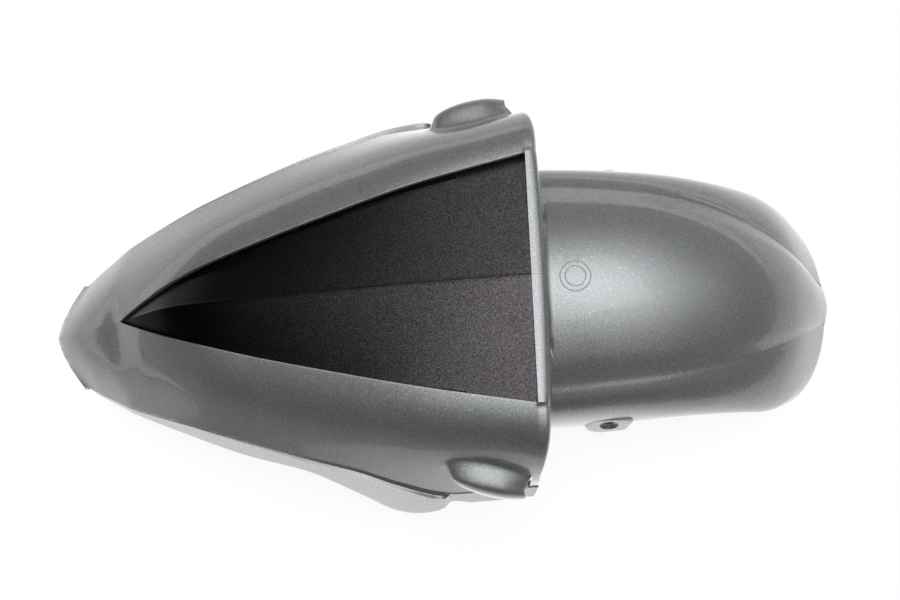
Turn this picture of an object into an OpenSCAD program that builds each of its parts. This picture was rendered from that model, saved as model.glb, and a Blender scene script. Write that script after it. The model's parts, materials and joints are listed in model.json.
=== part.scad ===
// Front mudguard of a motorcycle: a moulded shell with a dark insert set into its hood.
// The nose points along -X, the tail along +X, and the guard is symmetric about Y = 0.
// It stands on its nose edge and its tail edge, both at Z = 0.

/* [Overall] */
// Length from the nose edge to the back of the lip
hood_l = 341; // [325:4:357]
// Length of the wheel cover behind the lip
cover_l = 197; // [185:1:209]
// Width of the hood over its belt line
hood_w = 266; // [250:2:282]
// Width of the wheel cover over its flanks
cover_w = 180; // [172:2:186]
// Height of the lip above the edges that it stands on
hood_h = 126; // [116:1:138]
// Thickness of the moulding
wall = 2.8; // [2.4:0.1:3.4]

/* [Nose] */
// Width of the blunt front edge
nose_w = 74; // [64:2:84]
// How far the front edge comes to a point
nose_point = 17; // [12:1:22]

/* [Window and insert] */
// Distance from the nose to the tip of the window
window_start = 47; // [44:1:50]
// Width of the window at its back
window_w = 171; // [162:1:178]
// How far the lip stands above the insert
lip_rise = 4.5; // [3:0.5:6]
// Thickness of the insert
insert_t = 2.2; // [1.8:0.1:2.6]

/* [Belt groove] */
// Width of the groove where it ends
groove_w = 7.5; // [5:0.5:9]
// Depth of the groove where it ends
groove_d = 2.4; // [1.5:0.1:3]
// Depth of the skirt at its lowest corner
skirt_d = 38; // [32:1:41]

/* [Blisters] */
// Length of the bulge over each front fixing
blister_l = 48; // [42:1:54]
// Height of the bulge over each front fixing
blister_h = 25; // [22:1:28]
// Radius of the front fixing holes
fork_hole_r = 3.3; // [2.7:0.1:3.6]
// Length of the front fixing bosses
fork_boss_l = 14; // [12:0.5:15]

/* [Rear lugs] */
// Length of the pad around each rear fixing
lug_l = 34; // [30:1:38]
// Height of the pad around each rear fixing
lug_h = 25; // [22:1:26]
// How far the pad stands out of the flank
lug_out = 2.6; // [2:0.1:3.5]
// Radius of the rear fixing holes
lug_hole_r = 3.3; // [2.7:0.1:3.6]
// Radius of the recess for the bolt head
lug_recess_r = 6.3; // [5.5:0.1:7]

/* [Hidden] */
arc_fn = 48;
// The two lengths share the lip, and the frame's origin is midway between nose and tail
x_nose = -(hood_l + cover_l) / 2;
x_lip = x_nose + hood_l;
x_tail = x_lip + cover_l;
x_tip = x_nose + window_start;
// Back of the window, where the lip starts to rise
lip_l = 12.5;
x_rim = x_lip - lip_l;
belt_y = hood_w / 2;
rim_y = window_w / 2;
cover_y = cover_w / 2;

// Rows run from the nose to the tail, and columns from the centre line to the hem
nose_rows = 6;
hood_rows = 20;
lip_rows = 5;
cover_rows = 16;
row_tip = nose_rows;
row_rim = row_tip + hood_rows;
row_lip = row_rim + lip_rows;
row_foot = row_lip + 1;
row_tail = row_foot + cover_rows;
col_ridge = 5;
col_rim = 10;
col_belt = 19;
col_groove = col_belt + 3;
col_hem = col_groove + 3;

// Smooth curve through a list of points, read at x, for the value in place k
function slope(line, i, k) =
    let (a = max(i - 1, 0), b = min(i + 1, len(line) - 1))
    (line[b][k] - line[a][k]) / (line[b][0] - line[a][0]);
function segment(line, x, i = 0) = i >= len(line) - 2 || x < line[i + 1][0] ? i : segment(line, x, i + 1);
function hermite(t, a, b, ma, mb) =
    (2 * t^3 - 3 * t^2 + 1) * a + (t^3 - 2 * t^2 + t) * ma + (3 * t^2 - 2 * t^3) * b + (t^3 - t^2) * mb;
function curve(line, x, k = 1) =
    let (i = segment(line, x), w = line[i + 1][0] - line[i][0], t = min(max((x - line[i][0]) / w, 0), 1))
    hermite(t, line[i][k], line[i + 1][k], slope(line, i, k) * w, slope(line, i + 1, k) * w);
function bezier(t, a, b, c, d) = (1 - t)^3 * a + 3 * t * (1 - t)^2 * b + 3 * t^2 * (1 - t) * c + t^3 * d;
function mix(a, b, t) = a + (b - a) * t;

// The hood's lines, by the share of the way from the nose edge to the back of the window:
// each value is a share of the hood's height, of its half width, or an angle in degrees
spine = [[0, 0], [0.06, 0.16], [0.144, 0.335], [0.19, 0.475], [0.25, 0.615], [0.33, 0.69],
    [0.46, 0.755], [0.7, 0.86], [0.85, 0.92], [1, 0.965]];
rim = [[0.144, 0.004, 0.335], [0.19, 0.105, 0.43], [0.25, 0.215, 0.53], [0.33, 0.33, 0.62], [0.43, 0.455, 0.68],
    [0.57, 0.61, 0.765], [0.76, 0.805, 0.87], [1, 1, 0.945]];
belt = [[0, 0.25, 0], [0.04, 0.285, 0.035], [0.09, 0.365, 0.1], [0.14, 0.425, 0.165], [0.27, 0.545, 0.31],
    [0.4, 0.66, 0.4], [0.53, 0.77, 0.45], [0.63, 0.845, 0.465], [0.72, 0.92, 0.43], [0.81, 0.97, 0.365],
    [0.9, 0.965, 0.35], [1, 0.955, 0.35]];
rim_fall = [[0, 0], [0.144, 4], [0.25, 14], [0.5, 13], [1, 8]];
belt_fall = [[0, 0], [0.06, 28], [0.25, 38], [0.5, 48], [0.75, 64], [1, 76]];
// Depth of the skirt, and of the groove above it, as shares of their full values
skirt = [[0, 0.02], [0.05, 0.08], [0.14, 0.17], [0.27, 0.42], [0.4, 0.55], [0.53, 0.43], [0.62, 0.76], [0.69, 0.97],
    [0.74, 0.88], [0.82, 0.34], [0.87, 0.44], [1, 0.42]];
groove = [[0, 0.02], [0.25, 0.1], [0.4, 0.4], [0.6, 0.8], [0.8, 1], [0.825, 0.02], [1, 0]];
skirt_draft = 12;

// The wheel cover's lines, by the share of the way from the lip to the tail
crest = [[0, 0.91], [0.15, 0.9], [0.35, 0.84], [0.55, 0.725], [0.72, 0.575], [0.85, 0.39], [0.94, 0.19], [1, 0]];
ridge = [[0, 0.835, 0.69], [0.2, 0.8, 0.685], [0.4, 0.745, 0.635], [0.6, 0.64, 0.53], [0.75, 0.51, 0.42],
    [0.88, 0.355, 0.265], [1, 0.16, 0]];
edge = [[0, 0.985, 0.335], [0.25, 0.97, 0.35], [0.5, 0.945, 0.37], [0.7, 0.915, 0.315], [0.86, 0.885, 0.215],
    [0.95, 0.86, 0.11], [1, 0.81, 0]];
ridge_end = 0.985;
edge_end = 0.775;

// Share of the way along the hood, at x
function along(x) = (x - x_nose) / (x_rim - x_nose);
function window_col(i) = min(max(i - row_tip, 0), col_rim);

// A row's place along the centre line, and how far its outer end is set back
function row_x(i) = i <= row_tip
    ? mix(x_nose, x_tip, i / nose_rows)
    : mix(x_tip, x_rim, min(i - row_tip, hood_rows) / hood_rows);
function set_back(i) = nose_point * max(0, 1 - i / (nose_rows + 4));

// Point of the hood's section in a row: across the window, down the flank, over the groove, down the skirt
function rim_point(i) =
    let (u = along(row_x(i)))
    i <= row_tip ? [0, curve(spine, u) * hood_h] : [curve(rim, u, 1) * rim_y, curve(rim, u, 2) * hood_h];
function belt_point(i) =
    let (u = along(row_x(i)), w = curve(belt, u, 1))
    [max(w * belt_y, nose_w / 2 * 0.94), curve(belt, u, 2) * hood_h];
function flank_point(i, t) =
    let (u = along(row_x(i)), a = rim_point(i), d = belt_point(i), r = norm(d - a))
    let (f = curve(rim_fall, u), g = curve(belt_fall, u))
    bezier(t, a, a + 0.42 * r * [cos(f), -sin(f)], d + 0.4 * r * [-cos(g), sin(g)], d);
function groove_point(i, k) =
    let (u = along(row_x(i)), g = curve(groove, u), w = max(groove_w * g, 1.2), d = groove_d * max(g, 0))
    let (out = [cos(50), -sin(50)], up = [sin(50), cos(50)], f = [0, 0.25, 0.75, 1][k], h = [0, 1, 1, 0][k])
    belt_point(i) + out * w * f * min(1, 4 * u + 0.2) - up * d * h;
function skirt_point(i, t) =
    let (u = along(row_x(i)), d = curve(skirt, u) * skirt_d, foot = groove_point(i, 3))
    let (z = max(foot[1] - d * t, 0))
    [foot[0] + (foot[1] - z) * tan(skirt_draft), z];
function section_point(i, j) =
    let (c = window_col(i))
    j < c
        ? [rim_point(i)[0] * j / c, mix(curve(spine, along(row_x(i))) * hood_h, rim_point(i)[1], j / c)]
        : j <= col_belt ? flank_point(i, (j - c) / (col_belt - c))
        : j <= col_groove ? groove_point(i, j - col_belt)
        : skirt_point(i, (j - col_groove) / (col_hem - col_groove));
function hood_point(i, j) =
    let (v = j / col_hem, p = i == 0 ? [nose_w / 2 * v, 0] : section_point(i, j))
    let (s = set_back(i) * (i == 0 ? v : p[0] / section_point(i, col_hem)[0])^1.5)
    [row_x(i) + s, p[0], p[1]];

// The lip: the last section carried back, raised over a round top and drawn forward at the sides
function lip_back(y) = x_lip - 3 * min(1, y / rim_y)^2 - 14 * max(0, (y - rim_y) / (belt_y - rim_y))^2;
function lip_point(i, j) =
    let (k = i - row_rim, p = section_point(row_rim, j), q = section_point(row_rim, min(j + 1, col_hem)))
    let (o = section_point(row_rim, max(j - 1, 0)), t = q - o, n = [-t[1], t[0]] / norm(t))
    let (fade = j <= col_rim ? 1 : max(0.25, 1 - (j - col_rim) / 6))
    let (f = [0, 0.28, 0.55, 0.8, 0.95, 1][k], h = [0, 0.55, 1, 0.95, 0.45, -0.5][k])
    let (r = p + n * lip_rise * h * fade)
    [mix(x_rim, lip_back(p[0]), f), r[0], max(r[1], 0)];

// The wheel cover: a dome between two ridges, with flanks that run round the tail
function tail_share(j) = j <= col_ridge
    ? mix(1, ridge_end, (j / col_ridge)^2)
    : mix(ridge_end, edge_end, (j - col_ridge) / (col_rim - col_ridge));
function at_ridge(s) = [mix(x_lip, x_tail, s * ridge_end), curve(ridge, s, 1) * cover_y, curve(ridge, s, 2) * hood_h];
function at_edge(s) = [mix(x_lip, x_tail, s * edge_end), curve(edge, s, 1) * cover_y, curve(edge, s, 2) * hood_h];
function cover_point(i, j) =
    let (s = (i - row_foot) / cover_rows, a = at_ridge(s), d = at_edge(s), e = s^3)
    let (t = (j - col_ridge) / (col_rim - col_ridge), v = j / col_ridge)
    let (b = a + mix([0, 11, -5], [-3, 24, 0], e), c = d + mix([0, 1, 17], [26, -3, 0], e))
    j <= col_ridge
        ? [mix(x_lip, x_tail, s * mix(1, ridge_end, v^2)), a[1] * v, mix(a[2], curve(crest, s) * hood_h, 1 - v^2)]
        : bezier(t, a, b, c, d);

// Every point of the outer face
function skin(i, j) = i <= row_rim ? hood_point(i, j)
    : i <= row_lip ? lip_point(i, j)
    : j <= col_rim ? cover_point(i, j)
    : lip_point(row_lip, j) - [0, 0, 4 * (i - row_lip)];
function mirrored(p) = [p[0], -p[1], p[2]];
function skin_at(i, j) = j < 0 ? mirrored(skin(i, -j)) : skin(i, j);
function unit(v) = v / max(norm(v), 0.000001);
function normal(i, j) =
    let (a = skin_at(max(i - 1, 0), j), b = skin_at(min(i + 1, row_tail), j))
    let (c = skin_at(i, j - 1), d = skin_at(i, min(j + 1, i > row_foot ? col_rim : col_hem)))
    unit(cross(b - a, d - c));
// A point below the outer face, kept above the edges that the guard stands on
function below(i, j, depth) =
    let (p = skin(i, j) - normal(i, j) * depth)
    [p[0], j == 0 ? 0 : max(p[1], 0.2), max(p[2], 0)];

// Each grid square is two triangles, 0 on the nose side and 1 on the far side of its diagonal
function in_window(i, j, side) =
    let (c = window_col(i), n = window_col(i + 1))
    i >= row_tip && i < row_rim && (j < c || (j == c && n > c && side == 0));
function in_shell(i, j, side) =
    i >= 0 && i < row_tail && j >= 0 && (i < row_lip ? j < col_hem : j < col_rim) && !in_window(i, j, side);
// The insert reaches one square further than the window, so that it lies under the shell all round
function insert_col(i) = min(max(i - row_tip + 1, 0), col_rim + 1);
function in_insert(i, j, side) =
    let (c = insert_col(i), n = insert_col(i + 1))
    i >= row_tip - 1 && i <= row_rim && j >= 0 && (j < c || (j == c && n > c && side == 0));

rows = row_tail + 1;
cols = col_hem + 1;
function id(i, j) = i * cols + j;
// Corners of a triangle, and the triangle that shares each of its edges
function corners(i, j, side) = side == 0
    ? [[i, j], [i + 1, j], [i + 1, j + 1]]
    : [[i, j], [i + 1, j + 1], [i, j + 1]];
function beyond(i, j, side) = side == 0
    ? [[i, j - 1, 1], [i + 1, j, 1], [i, j, 1]]
    : [[i, j, 0], [i, j + 1, 0], [i - 1, j, 0]];

// Closed sheet over the triangles for which has() is true, from one depth below the outer face to another
module sheet(has, top, bottom) {
    half = rows * cols;
    tiles = [for (i = [0:rows - 2], j = [0:cols - 2], s = [0, 1]) if (has(i, j, s)) [i, j, s]];
    upper = [for (i = [0:rows - 1], j = [0:cols - 1]) top == 0 ? skin(i, j) : below(i, j, top)];
    lower = [for (i = [0:rows - 1], j = [0:cols - 1]) below(i, j, bottom)];
    faces = [
        for (t = tiles)
            let (c = [for (p = corners(t[0], t[1], t[2])) id(p[0], p[1])], n = beyond(t[0], t[1], t[2]))
            each [
                [c[2], c[1], c[0]],
                [c[0] + half, c[1] + half, c[2] + half],
                for (k = [0:2])
                    let (a = c[k], b = c[(k + 1) % 3])
                    if (n[k][1] >= 0 && !has(n[k][0], n[k][1], n[k][2]))
                        each [[a, b, b + half], [a, b + half, a + half]]
            ]
    ];
    points = concat(upper, lower);
    // The left half shares the centre line's points
    left = [for (f = faces) [for (k = [2:-1:0]) f[k] % cols == 0 ? f[k] : f[k] + 2 * half]];
    polyhedron(points = concat(points, [for (p = points) mirrored(p)]), faces = concat(faces, left));
}

// Both sides of the guard
module pair() {
    children();
    mirror([0, 1, 0]) children();
}

// Front fixings: a bulge on the flank, open to the back and to the wheel, with a drilled boss in it
blister_x = x_nose + 302;
blister_z = hood_h * 0.545;
blister_y = belt_y - 6.6;
blister_r = blister_h / 2;
blister_front = blister_l * 0.58;
blister_end = blister_l * 0.42;
// How far the bulge dips towards its back, and toes in towards its front
blister_dip = 12;
blister_toe = 11;
// The bulge stops inside the flank, and the boss stops inside the bulge's wall
blister_root = 5.5;
boss_tip = blister_r - 2.1;
boss_wall = 3.2;
boss_end = 3;
module egg(grow) {
    r = blister_r + grow;
    n = 14;
    rotate([0, 90, 0]) rotate_extrude($fn = arc_fn)
        polygon([[0, -blister_front - grow],
            for (k = [1:n]) let (a = -90 + 90 * k / n) [r * cos(a), (blister_front + grow) * sin(a)],
            [r * 0.92, blister_end], [0, blister_end]]);
}
module at_blister() {
    translate([blister_x, blister_y, blister_z]) children();
}
module blister() {
    at_blister() rotate([0, blister_dip, blister_toe]) intersection() {
        egg(0);
        translate([-blister_l, -blister_root, -blister_l]) cube(2 * blister_l);
    }
}
module fork_rod(r, l) {
    at_blister() translate([0, boss_tip - fork_boss_l, 0]) rotate([-90, 0, 0]) cylinder(r = r, h = l, $fn = arc_fn);
}
module blister_hollow() {
    difference() {
        at_blister() rotate([0, blister_dip, blister_toe]) egg(-wall);
        fork_rod(fork_hole_r + boss_wall, fork_boss_l);
    }
    fork_rod(fork_hole_r, fork_boss_l - boss_end);
}

// Rear fixings: a pad on each flank with a hole and a recess for the bolt head
lug_x = x_lip + 36;
lug_z = hood_h * 0.41;
lug_lean = 10;
lug_face = cover_y * 0.965 + lug_out;
lug_depth = 9;
module lug() {
    translate([lug_x, lug_face, lug_z]) rotate([90 + lug_lean, 0, 0]) linear_extrude(lug_depth)
        polygon([[-lug_l / 2, 0], [-lug_l * 0.36, lug_h * 0.42], [lug_l * 0.36, lug_h * 0.42], [lug_l / 2, lug_h * 0.2],
            [lug_l * 0.36, -lug_h * 0.45], [-lug_l * 0.2, -lug_h * 0.58], [-lug_l * 0.42, -lug_h * 0.4]]);
}
module lug_hole() {
    translate([lug_x, lug_face, lug_z]) rotate([90 + lug_lean, 0, 0]) translate([0, 0, -1]) {
        cylinder(r = lug_hole_r, h = lug_depth + 6, $fn = arc_fn);
        cylinder(r = lug_recess_r, h = 3, $fn = arc_fn);
    }
}

module mudguard_shell() {
    color([0.42, 0.44, 0.45]) difference() {
        union() {
            sheet(function (i, j, s) in_shell(i, j, s), 0, wall);
            pair() blister();
            pair() lug();
        }
        pair() blister_hollow();
        pair() lug_hole();
    }
}

module hood_insert() {
    color([0.07, 0.06, 0.07]) sheet(function (i, j, s) in_insert(i, j, s), wall, wall + insert_t);
}

mudguard_shell();
hood_insert();
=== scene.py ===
"""Motorcycle front mudguard: the looks of its moulded shell and of the dark insert in its hood."""
import bisect
import json
import math

import bpy
from bpy.props import FloatProperty, FloatVectorProperty, PointerProperty
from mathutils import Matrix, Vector


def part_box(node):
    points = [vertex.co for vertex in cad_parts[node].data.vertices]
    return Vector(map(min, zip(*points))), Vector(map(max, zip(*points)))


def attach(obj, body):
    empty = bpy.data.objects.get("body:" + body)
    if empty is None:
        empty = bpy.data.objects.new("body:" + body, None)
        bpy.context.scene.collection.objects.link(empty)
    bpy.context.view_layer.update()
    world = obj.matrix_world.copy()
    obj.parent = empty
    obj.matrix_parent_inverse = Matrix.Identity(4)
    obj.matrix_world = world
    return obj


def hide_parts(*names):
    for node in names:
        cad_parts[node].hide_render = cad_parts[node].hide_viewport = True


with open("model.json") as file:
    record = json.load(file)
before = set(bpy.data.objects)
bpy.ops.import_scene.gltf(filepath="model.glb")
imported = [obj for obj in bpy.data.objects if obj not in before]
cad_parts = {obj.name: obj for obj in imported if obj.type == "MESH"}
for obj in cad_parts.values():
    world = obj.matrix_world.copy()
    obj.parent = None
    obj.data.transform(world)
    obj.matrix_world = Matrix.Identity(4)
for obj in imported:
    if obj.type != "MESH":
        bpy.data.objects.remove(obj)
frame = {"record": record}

bl_info = {
    "name": "Motorcycle front mudguard",
    "version": (1, 0, 0),
    "blender": (4, 5, 0),
    "location": "3D View > Sidebar > Mudguard",
    "description": "Models a painted front mudguard with a dark insert over its packed frame",
    "category": "Object",
}

SHELL_NODE = "mudguard_shell"
INSERT_NODE = "hood_insert"
MM = 0.001

SHELL_LOW, SHELL_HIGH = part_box(SHELL_NODE)
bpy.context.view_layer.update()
MOUNTS = {mount["name"]: mount for mount in frame["record"]["mounts"]}
FORK_BORE = MOUNTS["fork_boss_right"]
LUG_BORE = MOUNTS["rear_lug_right"]


def length(name, words, default):
    """A size of the mudguard, in metres."""
    return FloatProperty(name=name, description=words, default=default, unit="LENGTH", precision=4)


def colour(name, words, default):
    """A colour of a finish."""
    return FloatVectorProperty(name=name, description=words, default=default, subtype="COLOR", size=3)


class MudguardSizes(bpy.types.PropertyGroup):
    """Sizes of the shell, its window and its fixings."""

    hood_length: length("Hood length", "From the nose edge to the back of the lip", 341 * MM)
    hood_width: length("Hood width", "Over the belt line", 266 * MM)
    hood_height: length("Hood height", "Of the lip above the floor", SHELL_HIGH[2])
    cover_width: length("Cover width", "Of the wheel cover over its flanks", 180 * MM)
    wall: length("Wall", "Thickness of the moulding", 2.8 * MM)
    nose_width: length("Nose width", "Of the blunt front edge", 74 * MM)
    nose_point: length("Nose point", "How far the front edge comes to a point", 17 * MM)
    window_start: length("Window start", "From the nose to the window's tip", 47 * MM)
    window_width: length("Window width", "At the back of the window", 171 * MM)
    insert_wall: length("Insert wall", "Thickness of the insert", 2.2 * MM)
    lip_length: length("Lip length", "From the window to the back of the lip", 13.7 * MM)
    lip_rise: length("Lip rise", "How far the lip stands above the hood", 4.5 * MM)
    groove_width: length("Groove width", "Where the belt groove ends", 7.5 * MM)
    groove_depth: length("Groove depth", "Where the belt groove ends", 2.4 * MM)
    skirt_depth: length("Skirt depth", "At its lowest corner", 38 * MM)
    blister_length: length("Blister length", "Of the bulge over a front fixing", 57 * MM)
    blister_height: length("Blister height", "Of the bulge over a front fixing", 25 * MM)
    lug_length: length("Lug length", "Of the pad around a rear fixing", 34 * MM)
    lug_height: length("Lug height", "Of the pad around a rear fixing", 25 * MM)
    lug_recess: length("Lug recess", "Radius of the recess for a bolt head", 6.3 * MM)
    mark_radius: length("Mark radius", "Of the plain moulded ring behind the lip", 10.2 * MM)


class MudguardFinish(bpy.types.PropertyGroup):
    """Colours of the paint, the insert and the bare moulding."""

    paint: colour("Paint", "Graphite metallic base coat", (0.18, 0.187, 0.192))
    flake: colour("Flake", "Aluminium flakes in the paint", (0.75, 0.78, 0.80))
    insert: colour("Insert", "Dark insert", (0.006, 0.005, 0.006))
    insert_flake: colour("Insert flake", "Fine flakes in the insert", (0.34, 0.315, 0.345))
    bare: colour("Bare moulding", "Inside of the shell", (0.035, 0.036, 0.038))


SIZE = None
FINISH = None


class Lines:
    """The lines that the surfaces follow: each is read at a share of its length.

    Widths are shares of a half width, heights are shares of the hood's height.
    """

    # Hood, from the nose to the window's back: height of the middle
    spine = [(0, 0), (0.025, 0.08), (0.06, 0.168), (0.1, 0.253), (0.144, 0.335), (0.19, 0.475),
             (0.25, 0.615), (0.33, 0.69), (0.46, 0.755), (0.7, 0.86), (0.85, 0.92), (1, 0.965)]
    # Width and height of the window's edge
    rim = [(0.144, 0.004, 0.335), (0.19, 0.105, 0.43), (0.25, 0.215, 0.53), (0.33, 0.33, 0.62),
           (0.43, 0.455, 0.68), (0.57, 0.61, 0.765), (0.76, 0.805, 0.87), (1, 1, 0.945)]
    # Width and height of the belt line
    belt = [(0, 0.262, 0), (0.02, 0.277, 0.018), (0.05, 0.318, 0.05), (0.09, 0.365, 0.1),
            (0.14, 0.425, 0.165), (0.27, 0.545, 0.31), (0.4, 0.66, 0.4), (0.53, 0.77, 0.45),
            (0.63, 0.845, 0.465), (0.72, 0.92, 0.43), (0.81, 0.97, 0.365), (0.9, 0.965, 0.35),
            (1, 0.955, 0.35)]
    # Fall of the flank at the window's edge and at the belt line, in degrees
    rim_fall = [(0, 0), (0.144, 4), (0.25, 12), (0.5, 9), (1, 4)]
    belt_fall = [(0, 0), (0.06, 28), (0.25, 38), (0.5, 48), (0.75, 64), (0.88, 74), (1, 97)]
    # Depth of the skirt, and how much of the belt groove there is
    skirt = [(0, 0.02), (0.05, 0.08), (0.14, 0.17), (0.27, 0.42), (0.4, 0.55), (0.53, 0.43),
             (0.62, 0.76), (0.69, 0.97), (0.74, 0.88), (0.82, 0.34), (0.87, 0.44), (1, 0.42)]
    groove = [(0, 0.02), (0.25, 0.1), (0.4, 0.4), (0.6, 0.8), (0.8, 1), (0.825, 0.02), (1, 0)]
    # Wheel cover, from the lip to the tail: height of its middle, then width and height of ridge and edge
    crest = [(0, 0.91), (0.15, 0.9), (0.35, 0.84), (0.55, 0.725), (0.72, 0.575), (0.85, 0.39),
             (0.94, 0.19), (1, 0)]
    ridge = [(0, 0.835, 0.69), (0.2, 0.8, 0.685), (0.4, 0.745, 0.635), (0.6, 0.64, 0.53),
             (0.75, 0.51, 0.42), (0.88, 0.355, 0.265), (1, 0.16, 0)]
    edge = [(0, 0.985, 0.335), (0.25, 0.97, 0.35), (0.5, 0.945, 0.37), (0.7, 0.915, 0.315),
            (0.86, 0.885, 0.215), (0.95, 0.86, 0.11), (1, 0.81, 0)]


# Where a ridge and the lower edge end, as shares of the wheel cover's length
RIDGE_END = 0.985
EDGE_END = 0.775
# Bezier handles of the wheel cover's flank at its ridge and at its edge, in mm: by the lip and at the tail
RIDGE_HANDLES = ((0, 15, -8), (-3, 24, 0))
EDGE_HANDLES = ((0, 1, 17), (26, -3, 0))
RIDGE_HOLLOW = 1.3 * MM

SKIRT_DRAFT = math.tan(math.radians(12))
NOSE_HALF = 0.47
NOSE_SWEEP = 1.5
# Bezier handles of the hood's flank at the window and at the belt line, as shares of its width
RIM_HANDLE = 0.42
BELT_HANDLE = 0.4
GROOVE_LEAN = math.radians(50)
GROOVE_LEAST = 1.2 * MM
GROOVE_WALL = 0.24

# How far the lip's back edge is drawn forward, in mm: in the middle, at the window's corners, at the belt
LIP_DRAWN = (3.5, 2, 13)
LIP_LEAST = 2.5 * MM
LIP_PULL = 24 * MM
# Height of the strip behind the window and its drop towards the corners, as shares of the lip's rise
STRIP_STAND = 0.58
STRIP_DROP = 0.1
STRIP_END = (0.004, 0.02)
# Height of the lip, behind the window and at its sides, and its reach, from the window to the back edge
LIP_STRIP = [(0, 0), (0.2, -0.015), (0.35, -0.055), (0.5, -0.13), (0.65, -0.25), (0.78, -0.42),
             (0.88, -0.66), (0.95, -0.98), (1, -1.5)]
LIP_ROLL = [(0, 0), (0.4, 0), (0.6, -0.06), (0.75, -0.22), (0.88, -0.6), (0.95, -1.0), (1, -1.5)]
LIP_REACH = [(0, 0), (0.2, 0.2), (0.35, 0.36), (0.5, 0.51), (0.65, 0.67), (0.78, 0.8),
             (0.88, 0.91), (0.95, 0.97), (1, 1)]


def curve(line, x, k=1):
    """Smooth curve through a line's points, read at x."""
    i = min(max(bisect.bisect_right([p[0] for p in line], x) - 1, 0), len(line) - 2)

    def slope(n):
        a, b = line[max(n - 1, 0)], line[min(n + 1, len(line) - 1)]
        return (b[k] - a[k]) / (b[0] - a[0])

    w = line[i + 1][0] - line[i][0]
    t = min(max((x - line[i][0]) / w, 0), 1)
    rise = (3 - 2 * t) * t * t
    ease_in = slope(i) * w * t * (1 - t) ** 2
    ease_out = slope(i + 1) * w * t * t * (1 - t)
    return line[i][k] * (1 - rise) + line[i + 1][k] * rise + ease_in - ease_out


def mix(a, b, t):
    """The point at share t of the way from a to b."""
    return a + (b - a) * t


def smooth(low, high, x):
    """0 below low, 1 above high, and a smooth step between them."""
    t = min(max((x - low) / (high - low), 0), 1)
    return t * t * (3 - 2 * t)


def bezier(t, a, b, c, d):
    """Point on a cubic through a and d."""
    return (1 - t) ** 3 * a + 3 * t * (1 - t) ** 2 * b + 3 * t * t * (1 - t) * c + t ** 3 * d


def steps(start, end, count):
    """count values from start, up to but not with end."""
    return [mix(start, end, k / count) for k in range(count)]


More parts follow.
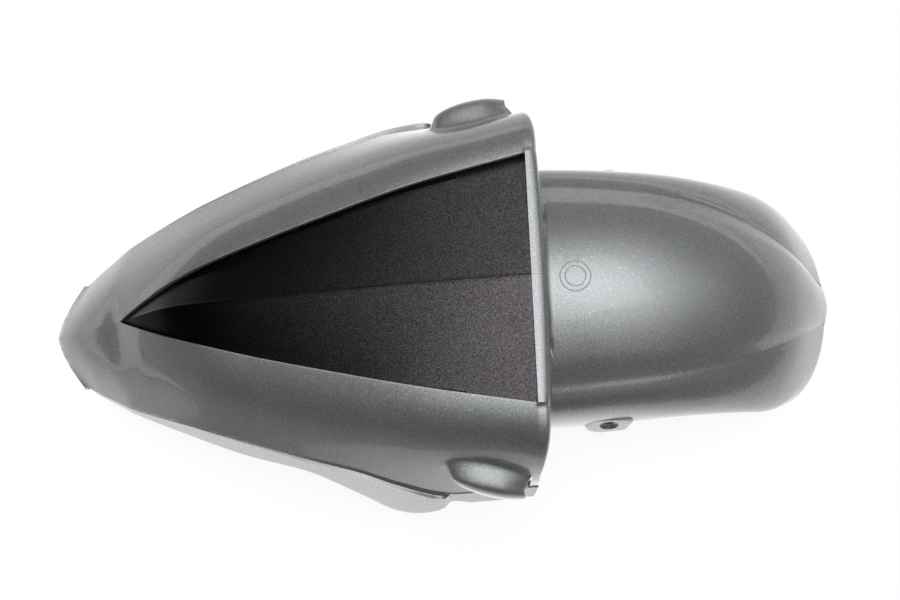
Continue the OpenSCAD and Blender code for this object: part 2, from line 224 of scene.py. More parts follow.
class Hood:
    """Sections of the hood, across Y = 0, as points (y, z)."""

    def __init__(self, size):
        self.size = size
        self.nose = SHELL_LOW[0]
        self.tail = SHELL_HIGH[0]
        self.back = self.nose + size.hood_length
        self.rear_rim = self.back - size.lip_length
        self.tip = self.nose + size.window_start
        self.half = size.hood_width / 2
        self.rim_half = size.window_width / 2
        self.height = size.hood_height

    def along(self, x):
        """Share of the way from the nose edge to the back of the window."""
        return (x - self.nose) / (self.rear_rim - self.nose)

    def rim(self, x):
        """Edge of the window, or the centre line ahead of it."""
        u = self.along(x)
        if x <= self.tip:
            return Vector((0, curve(Lines.spine, u) * self.height))
        return Vector((max(curve(Lines.rim, u, 1), 0) * self.rim_half, curve(Lines.rim, u, 2) * self.height))

    def belt(self, x):
        """The belt line, where the flank ends."""
        u = self.along(x)
        y = max(curve(Lines.belt, u, 1) * self.half, self.size.nose_width * NOSE_HALF)
        return Vector((y, curve(Lines.belt, u, 2) * self.height))

    def flank(self, x, t):
        """Between the rim and the belt line."""
        u = self.along(x)
        a, d = self.rim(x), self.belt(x)
        r = (d - a).length
        top = math.radians(curve(Lines.rim_fall, u))
        low = math.radians(curve(Lines.belt_fall, u))
        b = a + Vector((math.cos(top), -math.sin(top))) * RIM_HANDLE * r
        c = d + Vector((-math.cos(low), math.sin(low))) * BELT_HANDLE * r
        return bezier(t, a, b, c, d)

    def groove(self, x, t):
        """Across the belt groove, which is narrow at the nose."""
        u = self.along(x)
        share = curve(Lines.groove, u)
        wide = max(self.size.groove_width * share, GROOVE_LEAST) * min(1, 4 * u + 0.2)
        deep = self.size.groove_depth * max(share, 0) * smooth(0, GROOVE_WALL, min(t, 1 - t))
        out = Vector((math.cos(GROOVE_LEAN), -math.sin(GROOVE_LEAN)))
        up = Vector((math.sin(GROOVE_LEAN), math.cos(GROOVE_LEAN)))
        return self.belt(x) + out * wide * t - up * deep

    def skirt(self, x, t):
        """From the groove down to the hem."""
        foot = self.groove(x, 1)
        z = max(foot[1] - curve(Lines.skirt, self.along(x)) * self.size.skirt_depth * t, 0)
        return Vector((foot[0] + (foot[1] - z) * SKIRT_DRAFT, z))

    def window(self, x, t):
        """From the centre line to the rim, as the insert's top follows it."""
        a = Vector((0, curve(Lines.spine, self.along(x)) * self.height))
        return a.lerp(self.rim(x), t)

    def section(self, x, column):
        """A column is (part of the section, share of the way across that part)."""
        part, t = column
        return getattr(self, part)(x, t)

    def set_back(self, x):
        """How far the hem is set back behind the nose's point."""
        ahead = min((x - self.nose) / self.size.window_start, 1) * 0.6
        behind = max(x - self.tip, 0) / (self.rear_rim - self.tip) * 2
        return self.size.nose_point * max(0, 1 - ahead - behind)

    def swept(self, x, y):
        """How far a point of the section at x is set back, which grows towards the hem."""
        return self.set_back(x) * (y / self.skirt(x, 1)[0]) ** NOSE_SWEEP

    def point(self, x, column):
        """Point of the hood's outer face."""
        y, z = self.section(x, column)
        return Vector((x + self.swept(x, y), y, z))

    def lip_back(self, y):
        """X of the lip's back edge: it is drawn forward at the sides."""
        side = max(0, (y - self.rim_half) / (self.half - self.rim_half))
        middle, corner, belt = LIP_DRAWN
        drawn = middle + corner * min(1, y / self.rim_half) ** 2 + belt * min(side, 1) ** 4
        return self.back - drawn * MM

    def lip_start(self, y):
        """X where the lip begins: at the window, or just ahead of its own back edge."""
        return min(self.rear_rim, self.lip_back(y) - LIP_LEAST)

    def drawn(self, point, x):
        """A point of the row at x, moved forward where the lip is."""
        start = self.rear_rim - LIP_PULL
        if x > start:
            share = (x - start) / (self.rear_rim - start)
            point[0] = mix(start, self.lip_start(point[1]), share)
        return point

    def lip(self, k, column):
        """Point of the lip, from k = 0 at the window to k = 1 at its back edge."""
        part, t = column
        near = self.section(self.rear_rim, (part, max(t - 0.02, 0)))
        far = self.section(self.rear_rim, (part, min(t + 0.02, 1)))
        along = (far - near).normalized()
        out = Vector((-along[1], along[0]))
        p = self.section(self.rear_rim, column)
        over = {"window": 0, "flank": t}.get(part, 1)
        strip = 1 - smooth(*STRIP_END, over)
        roll = curve(LIP_ROLL, k) * max(1 - 1.25 * over, 0)
        stand = STRIP_STAND - STRIP_DROP * smooth(0.8, 1, p[0] / self.rim_half)
        x = mix(self.lip_start(p[0]), self.lip_back(p[0]), curve(LIP_REACH, k))
        p = p + out * self.size.lip_rise * mix(roll, stand + curve(LIP_STRIP, k), strip)
        return Vector((x, p[0], max(p[1], 0)))


class Cover:
    """The wheel cover: a dome between two ridges, with flanks that run round the tail."""

    def __init__(self, hood):
        self.hood = hood
        self.half = hood.size.cover_width / 2
        self.span = hood.tail - hood.back

    def ridge(self, s):
        """Line of a ridge."""
        h = self.hood
        return Vector((h.back + self.span * s * RIDGE_END, curve(Lines.ridge, s, 1) * self.half,
                       curve(Lines.ridge, s, 2) * h.height))

    def edge(self, s):
        """Line of the lower edge."""
        h = self.hood
        return Vector((h.back + self.span * s * EDGE_END, curve(Lines.edge, s, 1) * self.half,
                       curve(Lines.edge, s, 2) * h.height))

    def dome(self, s, v):
        """Between the crest, v = 0, and a ridge, v = 1."""
        a = self.ridge(s)
        x = self.hood.back + self.span * s * mix(1, RIDGE_END, v * v)
        z = mix(curve(Lines.crest, s) * self.hood.height, a[2], v * v)
        hollow = RIDGE_HOLLOW * smooth(0.7, 0.91, v) * (1 - smooth(0.91, 1, v))
        return Vector((x, a[1] * v, z - hollow))

    def flank(self, s, t):
        """Between a ridge, t = 0, and the lower edge, t = 1."""
        a, d = self.ridge(s), self.edge(s)
        e = s ** 3
        b = a + Vector(RIDGE_HANDLES[0]).lerp(Vector(RIDGE_HANDLES[1]), e) * MM
        c = d + Vector(EDGE_HANDLES[0]).lerp(Vector(EDGE_HANDLES[1]), e) * MM
        return bezier(t, a, b, c, d)

    def point(self, s, column):
        """Point of the cover's outer face."""
        part, t = column
        return getattr(self, part)(s, t)

    def height_at(self, x, y):
        """Height of the dome over a point of the floor."""
        s = (x - self.hood.back) / self.span
        for _ in range(3):
            v = abs(y) / self.ridge(s)[1]
            s = (x - self.hood.back) / (self.span * mix(1, RIDGE_END, v * v))
        return self.dome(s, v)[2]


# The blister's share ahead of the fixing, and the power of its rounded section
BLISTER_FRONT = 0.63
BLISTER_FULLNESS = 2.8
BLISTER_INSET = 6.6 * MM
BLISTER_DIP = math.tan(math.radians(12))
BLISTER_SPLAY = math.tan(math.radians(11))
BLISTER_BLEND = 5 * MM
BLISTER_TAPER = 0.24
# Where the push of a blister's points is averaged: steps along the hood, and shares across its part
MEAN_ALONG = (-1.2 * MM, 0, 1.2 * MM)
MEAN_ACROSS = (-0.012, -0.006, 0, 0.006, 0.012)


def blistered(point, hood):
    """A point of the flank, pushed out over the front fixing."""
    size = hood.size
    centre = Vector(FORK_BORE["pos_m"])
    axis_y = hood.half - BLISTER_INSET
    a = point[0] - centre[0]
    b = point[2] - centre[2] + a * BLISTER_DIP
    front, end = size.blister_length * BLISTER_FRONT, size.blister_length * (1 - BLISTER_FRONT)
    if a <= -front or a > end + 0.1 * MM:
        return point
    radius = size.blister_height / 2
    blend = BLISTER_BLEND
    if a < 0:
        fullness = math.sqrt(1 - (a / front) ** 2)
        radius *= fullness
        blend *= fullness
    else:
        radius *= 1 - BLISTER_TAPER * (a / end) ** 1.5
    toe = axis_y + a * BLISTER_SPLAY * 0.8
    share = abs(b) / radius
    if share < 1:
        egg = toe + radius * (1 - share ** BLISTER_FULLNESS) ** (1 / BLISTER_FULLNESS)
    else:
        egg = toe - radius * math.sqrt(share * share - 1) * 1.5
    near = max(blend - abs(egg - point[1]), 0) / blend
    return Vector((point[0], max(egg, point[1]) + near * near * blend / 4, point[2]))


def bulged(hood, x, column, end):
    """The hood's point at x, moved out by the mean push of the points around it, up to the open end."""
    part, t = column
    point = hood.point(x, column)
    if x <= end:
        around = [hood.point(min(x + step, end), (part, min(max(t + share, 0), 1)))
                  for step in MEAN_ALONG for share in MEAN_ACROSS]
        point[1] += sum((blistered(near, hood) - near)[1] for near in around) / len(around)
    return point


def deselect():
    """Leaves object mode with nothing selected."""
    if bpy.context.object and bpy.context.object.mode != "OBJECT":
        bpy.ops.object.mode_set(mode="OBJECT")
    bpy.ops.object.select_all(action="DESELECT")


def only(obj):
    """Selects one object and makes it active."""
    deselect()
    obj.select_set(True)
    bpy.context.view_layer.objects.active = obj


def named(name):
    """The new primitive under its own name."""
    obj = bpy.context.object
    obj.name = name
    obj.data.name = name
    return obj


def modified(obj, kind, **settings):
    """Adds a modifier with these settings and applies it."""
    only(obj)
    modifier = obj.modifiers.new(kind.title(), kind)
    for key, value in settings.items():
        setattr(modifier, key, value)
    bpy.ops.object.modifier_apply(modifier=modifier.name)


def lofted(name, rows, columns, place, gone):
    """A grid whose rows and columns follow the lines, without the faces for which gone() is true."""
    deselect()
    across, out = len(rows) - 1, len(columns) - 1
    bpy.ops.mesh.primitive_grid_add(x_subdivisions=across, y_subdivisions=out, size=1)
    obj = named(name)
    mesh = obj.data
    if len(mesh.vertices) != len(rows) * len(columns):
        raise RuntimeError(f"{name}: the grid has {len(mesh.vertices)} points")
    for j, column in enumerate(columns):
        for i, row in enumerate(rows):
            mesh.vertices[j * len(rows) + i].co = place(row, column)
    bpy.ops.object.mode_set(mode="EDIT")
    bpy.ops.mesh.select_mode(type="FACE")
    bpy.ops.mesh.select_all(action="DESELECT")
    bpy.ops.object.mode_set(mode="OBJECT")
    for j in range(out):
        for i in range(across):
            mesh.polygons[j * across + i].select = gone(rows[i], columns[j], columns[j + 1])
    if any(face.select for face in mesh.polygons):
        bpy.ops.object.mode_set(mode="EDIT")
        bpy.ops.mesh.delete(type="FACE")
        bpy.ops.object.mode_set(mode="OBJECT")
    return obj


def both_sides(obj):
    """Mirrors the right half, across Y = 0, to make the whole."""
    modified(obj, "MIRROR", use_axis=(False, True, False), use_clip=True, merge_threshold=0.05 * MM)


def walled(obj, wall, edge_round):
    """Gives a sheet its wall, with bare faces inside, and rounds its cut edges."""
    modified(obj, "SOLIDIFY", thickness=wall, offset=-1, use_even_offset=False, material_offset=1,
             use_quality_normals=True)
    for vertex in obj.data.vertices:
        vertex.co[2] = max(vertex.co[2], 0)
    modified(obj, "BEVEL", width=edge_round, segments=2, limit_method="ANGLE",
             angle_limit=math.radians(62), use_clamp_overlap=True)


def smoothed(obj, degrees=38):
    """Shades an object smooth, apart from its sharp edges."""
    only(obj)
    bpy.ops.object.shade_smooth_by_angle(angle=math.radians(degrees))


def ring_stack(name, rings, closed=False):
    """A surface through rings of points, from a circle that is extruded from ring to ring."""
    deselect()
    count = len(rings[0])
    bpy.ops.mesh.primitive_circle_add(vertices=count, radius=MM, fill_type="NOTHING")
    obj = named(name)
    mesh = obj.data
    bpy.ops.object.mode_set(mode="EDIT")
    bpy.ops.mesh.select_mode(type="VERT")
    bpy.ops.mesh.select_all(action="SELECT")
    bpy.ops.object.mode_set(mode="OBJECT")
    for n, ring in enumerate(rings):
        if n:
            bpy.ops.object.mode_set(mode="EDIT")
            bpy.ops.mesh.extrude_region_move()
            bpy.ops.object.mode_set(mode="OBJECT")
        new = [v for v in mesh.vertices if v.select]
        new.sort(key=lambda v: v.index)
        for vertex, place in zip(new, ring):
            vertex.co = place
    if closed:
        for vertex in mesh.vertices:
            vertex.select = vertex.index < count or vertex.index >= count * (len(rings) - 1)
        for line in mesh.edges:
            line.select = all(mesh.vertices[v].select for v in line.vertices)
        bpy.ops.object.mode_set(mode="EDIT")
        bpy.ops.mesh.select_mode(type="EDGE")
        bpy.ops.mesh.bridge_edge_loops()
        bpy.ops.object.mode_set(mode="OBJECT")
    bpy.ops.object.mode_set(mode="EDIT")
    bpy.ops.mesh.select_all(action="SELECT")
    bpy.ops.mesh.normals_make_consistent(inside=False)
    bpy.ops.object.mode_set(mode="OBJECT")
    return obj


class Wire:
    """A socket of a material. Sums and products of wires add Math nodes."""

    def __init__(self, shader, socket):
        self.shader = shader
        self.socket = socket

    def _math(self, operation, *values):
        return self.shader.node("ShaderNodeMath", {"operation": operation}, dict(enumerate(values)))

    def __add__(self, other):
        return self._math("ADD", self, other)

    __radd__ = __add__

    def __sub__(self, other):
        return self._math("SUBTRACT", self, other)

    def __rsub__(self, other):
        return self._math("SUBTRACT", other, self)

    def __mul__(self, other):
        return self._math("MULTIPLY", self, other)

    __rmul__ = __mul__

    def __pow__(self, other):
        return self._math("POWER", self, other)

    def __gt__(self, other):
        return self._math("GREATER_THAN", self, other)

    def clamped(self):
        """The value kept between 0 and 1."""
        return self.shader.node("ShaderNodeClamp", {}, {"Value": self})


class Shader:
    """A material or world whose nodes are made one by one."""

    def __init__(self, owner):
        owner.use_nodes = True
        self.tree = owner.node_tree
        self.tree.nodes.clear()
        self.owner = owner

    def node(self, kind, settings=None, inputs=None, output=0):
        """Makes a node, sets its settings and then its sockets, and gives one of its outputs."""
        made = self.tree.nodes.new(kind)
        for key, value in (settings or {}).items():
            if key == "stops":
                ramp = made.color_ramp.elements
                while len(ramp) < len(value):
                    ramp.new(1)
                for element, (place, shade) in zip(ramp, value):
                    element.position = place
                    element.color = (*shade, 1) if isinstance(shade, tuple) else (shade, shade, shade, 1)
            else:
                setattr(made, key, value)
        for key, value in (inputs or {}).items():
            socket = made.inputs[key]
            if isinstance(value, Wire):
                self.tree.links.new(value.socket, socket)
            elif hasattr(socket.default_value, "__len__") and len(socket.default_value) == 4:
                socket.default_value = (*value, 1)
            else:
                socket.default_value = value
        return Wire(self, made.outputs[output]) if made.outputs else None

    def place(self):
        """Place of a point on the object."""
        return self.node("ShaderNodeTexCoord", output="Object")

    def noise(self, scale, detail=2, roughness=0.5):
        """Soft noise, from 0 to 1."""
        return self.node("ShaderNodeTexNoise", {}, {"Vector": self.place(), "Scale": scale, "Detail": detail,
                                                    "Roughness": roughness}, "Fac")

    def cells(self, scale):
        """A random colour in each small cell."""
        return self.node("ShaderNodeTexVoronoi", {}, {"Vector": self.place(), "Scale": scale,
                                                      "Randomness": 1.0}, "Color")

    def shade(self, colour_wire):
        """The first channel of a colour, as a number."""
        return self.node("ShaderNodeSeparateColor", {}, {"Color": colour_wire}, "Red")

    def blend(self, factor, a, b):
        """Mix of two colours."""
        inputs = {"Factor": factor, 6: a, 7: b}
        return self.node("ShaderNodeMix", {"data_type": "RGBA"}, inputs, 2)

    def step(self, value, low, high, kind="SMOOTHSTEP"):
        """0 at low and 1 at high, with a step between them."""
        return self.node("ShaderNodeMapRange", {"interpolation_type": kind},
                         {"Value": value, "From Min": low, "From Max": high})

    def vector(self, operation, a, b, output=0):
        """Vector Math on two vectors."""
        return self.node("ShaderNodeVectorMath", {"operation": operation}, {0: a, 1: b}, output)

    def tilted(self, cells, amount):
        """The surface's normal, tilted a little and differently in each cell."""
        random = self.vector("SUBTRACT", cells, (0.5, 0.5, 0.5))
        lean = self.vector("MULTIPLY", random, (amount, amount, amount))
        normal = self.node("ShaderNodeNewGeometry", output="Normal")
        return self.vector("NORMALIZE", self.vector("ADD", normal, lean), (0, 0, 0))

    def surface(self, wire):
        """Links the finished shader to the output."""
        kind = "World" if isinstance(self.owner, bpy.types.World) else "Material"
        self.node("ShaderNodeOutput" + kind, {}, {"Surface": wire})


def graphite_paint():
    """Graphite metallic base coat with aluminium flakes, under a clear coat."""
    material = bpy.data.materials.new("graphite_metallic_paint")
    s = Shader(material)
    fine = s.cells(3400)
    coarse = s.cells(2100)
    clouds = s.noise(26, 3)
    sparkle = (s.shade(coarse) > 0.965) * 0.4
    lustre = s.shade(fine) * 0.26 + clouds * 0.08
    base = s.blend(lustre, FINISH.paint, FINISH.flake)
    base = s.blend(sparkle, base, FINISH.flake)
    rough = 0.38 + 0.06 * s.shade(fine) + 0.04 * clouds
    s.surface(s.node("ShaderNodeBsdfPrincipled", {}, {
        "Base Color": base, "Metallic": 0.72, "Roughness": rough, "Normal": s.tilted(fine, 0.16),
        "Coat Weight": 1.0, "Coat Roughness": 0.04, "Coat IOR": 1.5}))
    return material


def bare_moulding():
    """Inside of the shell: unpainted plastic, with a fine grain and overspray."""
    material = bpy.data.materials.new("bare_moulding_inside")
    s = Shader(material)
    mist = (s.noise(18, 4) - 0.35).clamped()
    grain = s.noise(900, 2)
    bump = s.node("ShaderNodeBump", {}, {"Strength": 0.15, "Distance": 0.0002, "Height": grain})
    s.surface(s.node("ShaderNodeBsdfPrincipled", {}, {
        "Base Color": s.blend(mist * 0.5, FINISH.bare, FINISH.paint), "Metallic": 0.0,
        "Roughness": 0.5 + 0.12 * grain, "Normal": bump}))
    return material


def dark_insert():
    """Violet black satin coat with fine flakes, with painted shade that darkens it towards its tip."""
    material = bpy.data.materials.new("dark_insert_coat")
    s = Shader(material)
    fine = s.cells(3600)
    coarse = s.cells(2200)
    sparkle = (s.shade(coarse) > 0.955) * 0.3
    # Painted shade: the flakes fade out along X towards the insert's tip, which is left near black. This
    # stands in for the dark room that the front of the panel reflects.
    x = s.node("ShaderNodeSeparateXYZ", {}, {"Vector": s.place()}, "X")
    depth = s.step(x, -0.21, 0.06, "LINEAR") ** 1.6
    lustre = (s.shade(fine) * 0.36 + 0.06 * s.noise(30, 3)) * depth
    base = s.blend(lustre, FINISH.insert, FINISH.insert_flake)
    base = s.blend(sparkle * depth, base, FINISH.insert_flake)
    s.surface(s.node("ShaderNodeBsdfPrincipled", {}, {
        "Base Color": base, "Metallic": 0.95, "Roughness": 0.3 + 0.06 * s.shade(fine),
        "Normal": s.tilted(fine, 0.16), "Coat Weight": 0.06, "Coat Roughness": 0.2}))
    return material


def finished(obj, node):
    """Lets a piece stand for a node of the frame: hides that node's part and hangs the piece under the root.
    """
    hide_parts(node)
    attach(obj, "root")


def coated(obj, *makers):
    """Gives a piece its materials: each is made once, by its own function."""
    for maker in makers:
        if maker not in MADE:
            MADE[maker] = maker()
        obj.data.materials.append(MADE[maker])


MADE = {}


WINDOW_COLUMNS = [("window", t) for t in steps(0, 1, 16)]
FLANK_COLUMNS = [("flank", t) for t in [*steps(0, 0.06, 4), *steps(0.06, 0.55, 14), *steps(0.55, 1, 52)]]
GROOVE_COLUMNS = [("groove", t) for t in steps(0, 1, 12)]
SKIRT_COLUMNS = [("skirt", t) for t in [*steps(0, 0.2, 4), *steps(0.2, 1, 8), 1]]
BLISTER_ROWS = 52
LIP_ROWS = 18
WEB_ROWS = 14
# A blister is left open at the back where it stands out further than this
OPEN_ABOVE = 0.7 * MM


class MUDGUARD_OT_hood(bpy.types.Operator):
    """Model the hood: nose, flanks, belt grooves, skirts, blisters and lip"""

    bl_idname = "mudguard.hood"
    bl_label = "Hood"

    def execute(self, context):
        hood = Hood(SIZE)
        fork = FORK_BORE["pos_m"][0]
        blister_end = fork + SIZE.blister_length * (1 - BLISTER_FRONT)
        front, shoulder = hood.tip + 60 * MM, fork - 38 * MM
        rows = [("hood", x) for x in [
            *steps(hood.nose, hood.tip, 14), *steps(hood.tip, front, 24), *steps(front, shoulder, 40),
            *steps(shoulder, blister_end, BLISTER_ROWS), blister_end, blister_end + 0.5 * MM,
            *steps(blister_end + 1.2 * MM, hood.rear_rim, 3)]]
        rows += [("lip", k / LIP_ROWS) for k in range(LIP_ROWS + 1)]
        columns = WINDOW_COLUMNS + FLANK_COLUMNS + GROOVE_COLUMNS + SKIRT_COLUMNS

        def place(row, column):
            kind, value = row
            if kind == "lip":
                return hood.lip(value, column)
            if column[0] == "window":
                return hood.point(value, column)
            return hood.drawn(bulged(hood, value, column, blister_end), value)

        def gone(row, column, next_column):
            if row[0] == "hood" and column[0] == "window":
                return True
            if row != ("hood", blister_end):
                return False
            ends = [(bulged(hood, blister_end, c, blister_end) - hood.point(blister_end, c))[1]
                    for c in (column, next_column)]
            return min(ends) > OPEN_ABOVE

        obj = lofted("mudguard_hood", rows, columns, place, gone)
        coated(obj, graphite_paint, bare_moulding)
        both_sides(obj)
        walled(obj, SIZE.wall, 1.0 * MM)
        smoothed(obj)
        finished(obj, SHELL_NODE)
        return {"FINISHED"}


class MUDGUARD_OT_cover(bpy.types.Operator):
    """Model the wheel cover behind the lip, with its two ridges"""

    bl_idname = "mudguard.cover"
    bl_label = "Wheel cover"

    def execute(self, context):
        hood = Hood(SIZE)
        cover = Cover(hood)
        dome = [("dome", t) for t in [*steps(0, 0.75, 18), *steps(0.75, 1, 12)]]
        flank = [("flank", t) for t in [*steps(0, 0.12, 6), *steps(0.12, 1, 22), 1]]
        columns = dome + flank
        start = 0.014
        rows = [("web", k / WEB_ROWS) for k in range(WEB_ROWS)]
        rows += [("cover", s) for s in [*steps(start, 0.7, 44), *steps(0.7, 1, 34), 1]]

        def place(row, column):
            kind, value = row
            if kind == "cover":
                return cover.point(value, column)
            foot = cover.point(start, column)
            under = hood.lip(0.88, ("window", min(foot[1] / hood.rim_half, 1)))
            head = under - Vector((2 * MM, 0, SIZE.wall))
            tall = head[2] - foot[2]
            rest = (1 - value) ** (2 + tall / (5 * MM))
            dimple = ((foot[1] - 44 * MM) / (5 * MM)) ** 2 + ((value - 0.42) / 0.13) ** 2
            z = foot[2] + tall * rest - 3 * MM * math.exp(-dimple)
            return Vector((mix(head[0], foot[0], value), mix(foot[1], head[1], rest), z))

        obj = lofted("mudguard_wheel_cover", rows, columns, place, lambda *_: False)
        coated(obj, graphite_paint, bare_moulding)
        both_sides(obj)
        walled(obj, SIZE.wall, 0.7 * MM)
        bore_through(obj)
        smoothed(obj, 30)
        finished(obj, SHELL_NODE)
        return {"FINISHED"}


def lug_place(p, q, out, side):
    """Point of a rear lug: p along X, q up its face and out along its axis, from the face's middle."""
    axis = Vector(LUG_BORE["axis"])
    up = Vector((0, -axis[2], axis[1]))
    face = Vector(LUG_BORE["pos_m"]) + axis * 5.5 * MM
    point = face + Vector((1, 0, 0)) * p + up * q + axis * out
    return Vector((point[0], point[1] * side, point[2]))


def bore_through(obj):
    """Cuts the rear fixing holes through the flanks of the wheel cover."""
    radius = LUG_BORE["dims"]["r_mm"] * MM
    for side in (-1, 1):
        rings = [[lug_place(radius * 1.02 * math.cos(a), radius * 1.02 * math.sin(a), out, side)
                  for a in (2 * math.pi * k / 40 for k in range(40))] for out in (-18 * MM, -1 * MM)]
        cutter = ring_stack("cutter", rings)
        bpy.ops.object.mode_set(mode="EDIT")
        bpy.ops.mesh.select_all(action="SELECT")
        bpy.ops.mesh.select_non_manifold()
        bpy.ops.mesh.edge_face_add()
        bpy.ops.mesh.select_all(action="SELECT")
        bpy.ops.mesh.normals_make_consistent(inside=False)
        bpy.ops.object.mode_set(mode="OBJECT")
        modified(obj, "BOOLEAN", operation="DIFFERENCE", object=cutter, solver="EXACT")
        bpy.data.objects.remove(cutter)


LUG_OUTLINE = [(-0.5, 0), (-0.36, 0.42), (0.36, 0.42), (0.5, 0.2), (0.36, -0.45), (-0.2, -0.58),
               (-0.42, -0.4)]
# Reach of the lug's outline is averaged over these angles, to round its corners
LUG_ROUNDING = (-0.12, -0.06, 0, 0.06, 0.12)


def lug_reach(angle, size):
    """Distance from the middle of a lug to its outline, in the direction of an angle."""
    corners = [Vector((p * size.lug_length, q * size.lug_height)) for p, q in LUG_OUTLINE]
    ray = Vector((math.cos(angle), math.sin(angle)))
    best = 1.0
    for a, b in zip(corners, corners[1:] + corners[:1]):
        edge = b - a
        cross = ray[0] * edge[1] - ray[1] * edge[0]
        if abs(cross) > 1e-9:
            reach = (a[0] * edge[1] - a[1] * edge[0]) / cross
            share = (a[0] * ray[1] - a[1] * ray[0]) / cross
            if reach > 0 and -0.001 <= share <= 1.001:
                best = min(best, reach)
    return best


class MUDGUARD_OT_rear_lugs(bpy.types.Operator):
    """Model the pads around the rear fixings, each with a bore and a recess for a bolt head"""

    bl_idname = "mudguard.rear_lugs"
    bl_label = "Rear lugs"

    def execute(self, context):
        bore = LUG_BORE["dims"]["r_mm"] * MM
        recess = SIZE.lug_recess
        angles = [2 * math.pi * k / 64 for k in range(64)]
        profile = [(bore, -9), (bore, -2.3), (bore + 0.3 * MM, -2), (recess - 0.5 * MM, -2),
                   (recess, -1.5), (recess, -0.4), (recess + 0.4 * MM, 0)]
        shoulder = [(0.80, 0), (0.92, -0.25), (0.985, -0.9), (1, -1.8), (1.02, -9)]
        for side, name in ((-1, "left"), (1, "right")):
            rings = [[lug_place(r * math.cos(a), r * math.sin(a), out * MM, side) for a in angles]
                     for r, out in profile]
            for share, out in shoulder:
                ring = []
                for a in angles:
                    reach = sum(lug_reach(a + d, SIZE) for d in LUG_ROUNDING) / len(LUG_ROUNDING)
                    p, q = reach * share * math.cos(a), reach * share * math.sin(a)
                    ring.append(lug_place(p, q, out * MM, side))
                rings.append(ring)
            obj = ring_stack("rear_lug_" + name, rings, closed=True)
            coated(obj, graphite_paint)
            smoothed(obj, 40)
            finished(obj, SHELL_NODE)
        return {"FINISHED"}


class MUDGUARD_OT_fork_bosses(bpy.types.Operator):
    """Model the drilled bosses inside the blisters"""

    bl_idname = "mudguard.fork_bosses"
    bl_label = "Fork bosses"

    def execute(self, context):
        bore = FORK_BORE["dims"]["r_mm"] * MM
        depth = FORK_BORE["dims"]["length_mm"] * MM
        centre = Vector(FORK_BORE["pos_m"])
        mouth = centre[1] - depth / 2
        angles = [2 * math.pi * k / 40 for k in range(40)]
        outer = bore + 3.2 * MM
        profile = [(0.05 * MM, depth), (bore, depth), (bore, 0.4 * MM), (bore + 0.4 * MM, 0),
                   (outer - 0.5 * MM, 0), (outer, 0.5 * MM), (outer, depth + 1.6 * MM),
                   (0.05 * MM, depth + 1.6 * MM)]
        for side, name in ((-1, "left"), (1, "right")):
            rings = [[Vector((centre[0] + r * math.cos(a), (mouth + out) * side, centre[2] + r * math.sin(a)))
                      for a in angles] for r, out in profile]
            obj = ring_stack("fork_boss_" + name, rings, closed=True)
            coated(obj, bare_moulding)
            smoothed(obj, 40)
            finished(obj, SHELL_NODE)
        return {"FINISHED"}


MARK_X = 0.0876


class MUDGUARD_OT_ring_mark(bpy.types.Operator):
    """Model the plain double ring moulded on the dome behind the lip"""

    bl_idname = "mudguard.ring_mark"
    bl_label = "Ring mark"

    def execute(self, context):
        cover = Cover(Hood(SIZE))
        angles = [2 * math.pi * k / 72 for k in range(72)]
        for name, radius in (("outer", SIZE.mark_radius), ("inner", SIZE.mark_radius * 0.67)):
            rings = []
            for width, rise in ((-0.5, -0.3), (-0.3, 0.16), (0, 0.22), (0.3, 0.16), (0.5, -0.3)):
                ring = []
                for a in angles:
                    x = MARK_X + (radius + width * MM) * math.cos(a)
                    y = (radius + width * MM) * math.sin(a)
                    ring.append(Vector((x, y, cover.height_at(x, y) + rise * MM)))
                rings.append(ring)
            obj = ring_stack("ring_mark_" + name, rings, closed=True)
            coated(obj, graphite_paint)
            smoothed(obj, 60)
            finished(obj, SHELL_NODE)
        return {"FINISHED"}


# The insert reaches ahead of, behind and out under the window's edge
INSERT_AHEAD = 4 * MM
INSERT_BEHIND = 5 * MM
INSERT_FLANGE = 6 * MM
# Bead along its crease, and its fold at the crease and at the window's edge
CREASE_BEAD = 0.16 * MM
CREASE_WIDTH = 2.4 * MM
INSERT_FOLD = (4 * MM, -7 * MM)
INSERT_CLEARANCE = 1.02


class MUDGUARD_OT_insert(bpy.types.Operator):
    """Model the dark insert, with the crease down its middle"""

    bl_idname = "mudguard.insert"
    bl_label = "Hood insert"

    def execute(self, context):
        hood = Hood(SIZE)
        front = hood.tip + 50 * MM
        rows = [*steps(hood.tip - INSERT_AHEAD, front, 24), *steps(front, hood.rear_rim, 60),
                hood.rear_rim, hood.rear_rim + INSERT_BEHIND]
        columns = [("window", t) for t in [*steps(0, 0.045, 6), *steps(0.045, 1.0, 26), 1.0]]

        def place(x, column):
            at = min(x, hood.rear_rim)
            rim = hood.rim(at)
            spine = curve(Lines.spine, hood.along(at)) * hood.height
            y = (rim[0] + INSERT_FLANGE) * column[1]
            inner = min(y / max(rim[0], 0.1 * MM), 1)
            bead = CREASE_BEAD * max(1 - y / CREASE_WIDTH, 0) ** 2
            fold = mix(*INSERT_FOLD, inner) * rim[0] / hood.rim_half
            z = mix(spine, rim[1], inner) + bead + fold
            if y > rim[0]:
                over = hood.flank(at, min((y - rim[0]) / (hood.belt(at) - rim).length, 1))
                z = over[1]
            return Vector((x + hood.swept(at, y), y, z - SIZE.wall * INSERT_CLEARANCE))

        obj = lofted("hood_insert_panel", rows, columns, place, lambda *_: False)
        coated(obj, dark_insert, bare_moulding)
        both_sides(obj)
        walled(obj, SIZE.insert_wall, 0.4 * MM)
        smoothed(obj, 12)
        finished(obj, INSERT_NODE)
        return {"FINISHED"}


CAMERA_AZIMUTH = math.radians(-2.6)
CAMERA_ELEVATION = math.radians(76)
CAMERA_DISTANCE = 2.0
CAMERA_AIM = (4.55 * MM, 15.4 * MM)
CAMERA_LENS = 114.3


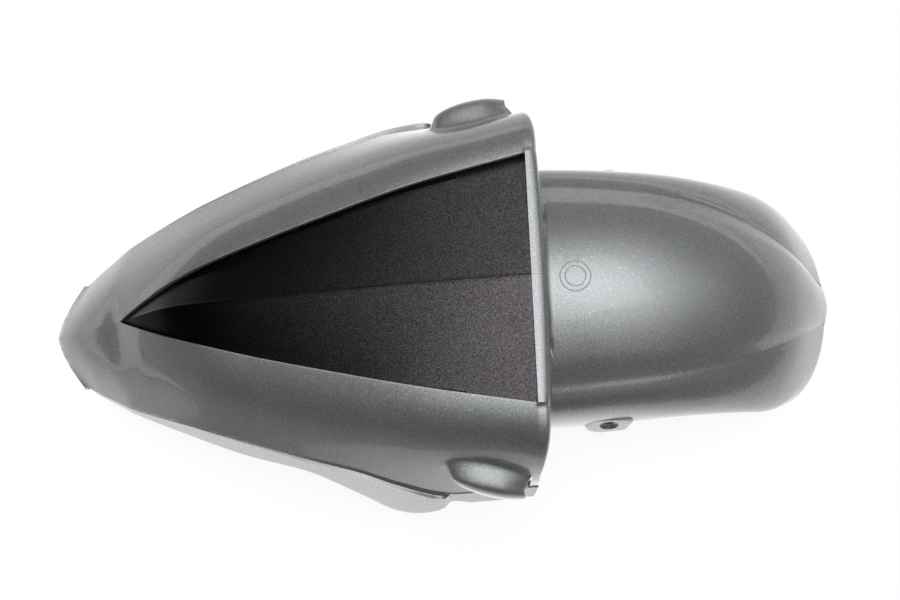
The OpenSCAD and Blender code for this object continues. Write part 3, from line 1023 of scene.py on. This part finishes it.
def lamp(name, direction, distance, size, watts, target=(0.05, 0, 0.08)):
    """A soft square lamp that faces the mudguard."""
    data = bpy.data.lights.new(name, "AREA")
    data.shape = "RECTANGLE"
    data.size, data.size_y = size
    data.energy = watts
    obj = bpy.data.objects.new(name, data)
    bpy.context.scene.collection.objects.link(obj)
    away = Vector(direction).normalized()
    obj.location = Vector(target) + away * distance
    obj.rotation_euler = away.to_track_quat("Z", "Y").to_euler()
    return obj


# The lit paper on the floor, as reflections show it: its near edge, that edge's run, its light by distance
PAPER_NEAR = -0.42
PAPER_SLANT = 0.7
PAPER_LIGHT = [(0.0, 1.6), (0.16, 1.5), (0.25, 0.95), (0.34, 0.76), (0.55, 0.7), (1.0, 0.52)]
PAPER_WHITE = 1.05
PAPER_SHARE = 0.88
# The studio around it: dark room, far paper up to the horizon, and a soft glow overhead
ROOM = 0.07
FAR_PAPER = 1.15
HORIZON = (0.06, 0.02)
GLOW = 3.1
GLOW_EDGE = 0.6
GLOW_FALL = 2.5
GLOW_DIRECTION = (0.20, 0.10, 0.97)


def floor_material():
    """White to the camera. In reflections it is a painted pool of light that dims with distance and is dark
    past its near edge. It keeps a soft shadow under the object.
    """
    made = bpy.data.materials.new("studio_floor")
    s = Shader(made)
    seen = s.node("ShaderNodeLightPath", output="Is Camera Ray")
    glossy = s.node("ShaderNodeLightPath", output="Is Glossy Ray")
    through = s.node("ShaderNodeLightPath", output="Is Transmission Ray")
    lit = s.node("ShaderNodeBsdfDiffuse", {}, {"Color": (0.86, 0.86, 0.86)})
    place = s.place()
    x = s.node("ShaderNodeSeparateXYZ", {}, {"Vector": place}, "X")
    y = s.node("ShaderNodeSeparateXYZ", {}, {"Vector": place}, "Y")
    away = (x * x * 0.5 + y * y) ** 0.5
    lit_paper = s.node("ShaderNodeValToRGB", {"stops": PAPER_LIGHT}, {"Fac": away})
    edge = y + (x * -1.0).clamped() * PAPER_SLANT
    reflected = s.blend(s.step(edge, PAPER_NEAR - 0.03, PAPER_NEAR + 0.03), (ROOM, ROOM, ROOM), lit_paper)
    shown = s.blend(seen, reflected, (1, 1, 1))
    white = s.node("ShaderNodeEmission", {}, {"Color": shown, "Strength": PAPER_WHITE})
    share = (seen + glossy + through).clamped() * PAPER_SHARE
    s.surface(s.node("ShaderNodeMixShader", {}, {0: share, 1: lit, 2: white}))
    return made


class MUDGUARD_OT_stage(bpy.types.Operator):
    """Add the pale floor, the soft studio light and the camera"""

    bl_idname = "mudguard.stage"
    bl_label = "Stage"

    def execute(self, context):
        deselect()
        bpy.ops.mesh.primitive_plane_add(size=30, location=(0, 0, 0))
        floor = named("studio_floor")
        floor.data.materials.append(floor_material())

        world = bpy.data.worlds.new("studio")
        context.scene.world = world
        s = Shader(world)
        direction = s.node("ShaderNodeTexCoord", output="Generated")
        axes = [s.node("ShaderNodeSeparateXYZ", {}, {"Vector": direction}, axis) for axis in "XYZ"]
        over = axes[2] + 0.08 * axes[0] - 0.17 * axes[1]
        toward = s.vector("DOT_PRODUCT", direction, Vector(GLOW_DIRECTION).normalized(), "Value")
        glow = s.step(toward, GLOW_EDGE, 1.0, "LINEAR") ** GLOW_FALL * GLOW
        glow = glow + s.step(over, *HORIZON) * FAR_PAPER + ROOM
        sky = s.node("ShaderNodeCombineColor", {}, {"Red": glow, "Green": glow, "Blue": glow})
        seen = s.node("ShaderNodeLightPath", output="Is Camera Ray")
        tint = s.blend(seen, sky, (1.0, 1.0, 1.0))
        s.surface(s.node("ShaderNodeBackground", {}, {"Color": tint, "Strength": 1.0}))

        lamp("key_lamp", GLOW_DIRECTION, 2.2, (1.6, 1.6), 6)

        back = Vector((math.sin(CAMERA_AZIMUTH) * math.cos(CAMERA_ELEVATION),
                       -math.cos(CAMERA_AZIMUTH) * math.cos(CAMERA_ELEVATION), math.sin(CAMERA_ELEVATION)))
        right = Vector((math.cos(CAMERA_AZIMUTH), math.sin(CAMERA_AZIMUTH), 0))
        data = bpy.data.cameras.new("photo_camera")
        data.lens = CAMERA_LENS
        data.sensor_width = 36
        camera = bpy.data.objects.new("photo_camera", data)
        context.scene.collection.objects.link(camera)
        camera.location = right * CAMERA_AIM[0] + back.cross(right) * CAMERA_AIM[1] + back * CAMERA_DISTANCE
        camera.rotation_euler = back.to_track_quat("Z", "Y").to_euler()
        context.scene.camera = camera
        context.scene.view_settings.view_transform = "Standard"
        return {"FINISHED"}


PIECES = [MUDGUARD_OT_hood, MUDGUARD_OT_cover, MUDGUARD_OT_rear_lugs, MUDGUARD_OT_fork_bosses,
          MUDGUARD_OT_ring_mark, MUDGUARD_OT_insert, MUDGUARD_OT_stage]


class MUDGUARD_PT_panel(bpy.types.Panel):
    """Sizes, colours and pieces of the mudguard"""

    bl_idname = "MUDGUARD_PT_panel"
    bl_label = "Front mudguard"
    bl_space_type = "VIEW_3D"
    bl_region_type = "UI"
    bl_category = "Mudguard"

    def draw(self, context):
        scene = context.scene
        for group in (scene.mudguard_sizes, scene.mudguard_finish):
            for key in group.__annotations__:
                self.layout.prop(group, key)
        for piece in PIECES:
            self.layout.operator(piece.bl_idname)


def register():
    """Registers the add-on's classes and its settings."""
    for cls in (MudguardSizes, MudguardFinish, *PIECES, MUDGUARD_PT_panel):
        bpy.utils.register_class(cls)
    bpy.types.Scene.mudguard_sizes = PointerProperty(type=MudguardSizes)
    bpy.types.Scene.mudguard_finish = PointerProperty(type=MudguardFinish)


def unregister():
    """Removes them again."""
    del bpy.types.Scene.mudguard_finish
    del bpy.types.Scene.mudguard_sizes
    for cls in reversed((MudguardSizes, MudguardFinish, *PIECES, MUDGUARD_PT_panel)):
        bpy.utils.unregister_class(cls)


def main():
    """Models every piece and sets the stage."""
    global SIZE, FINISH
    register()
    SIZE = bpy.context.scene.mudguard_sizes
    FINISH = bpy.context.scene.mudguard_finish
    bpy.ops.mudguard.hood()
    bpy.ops.mudguard.cover()
    bpy.ops.mudguard.rear_lugs()
    bpy.ops.mudguard.fork_bosses()
    bpy.ops.mudguard.ring_mark()
    bpy.ops.mudguard.insert()
    bpy.ops.mudguard.stage()


if __name__ == "__main__":
    main()
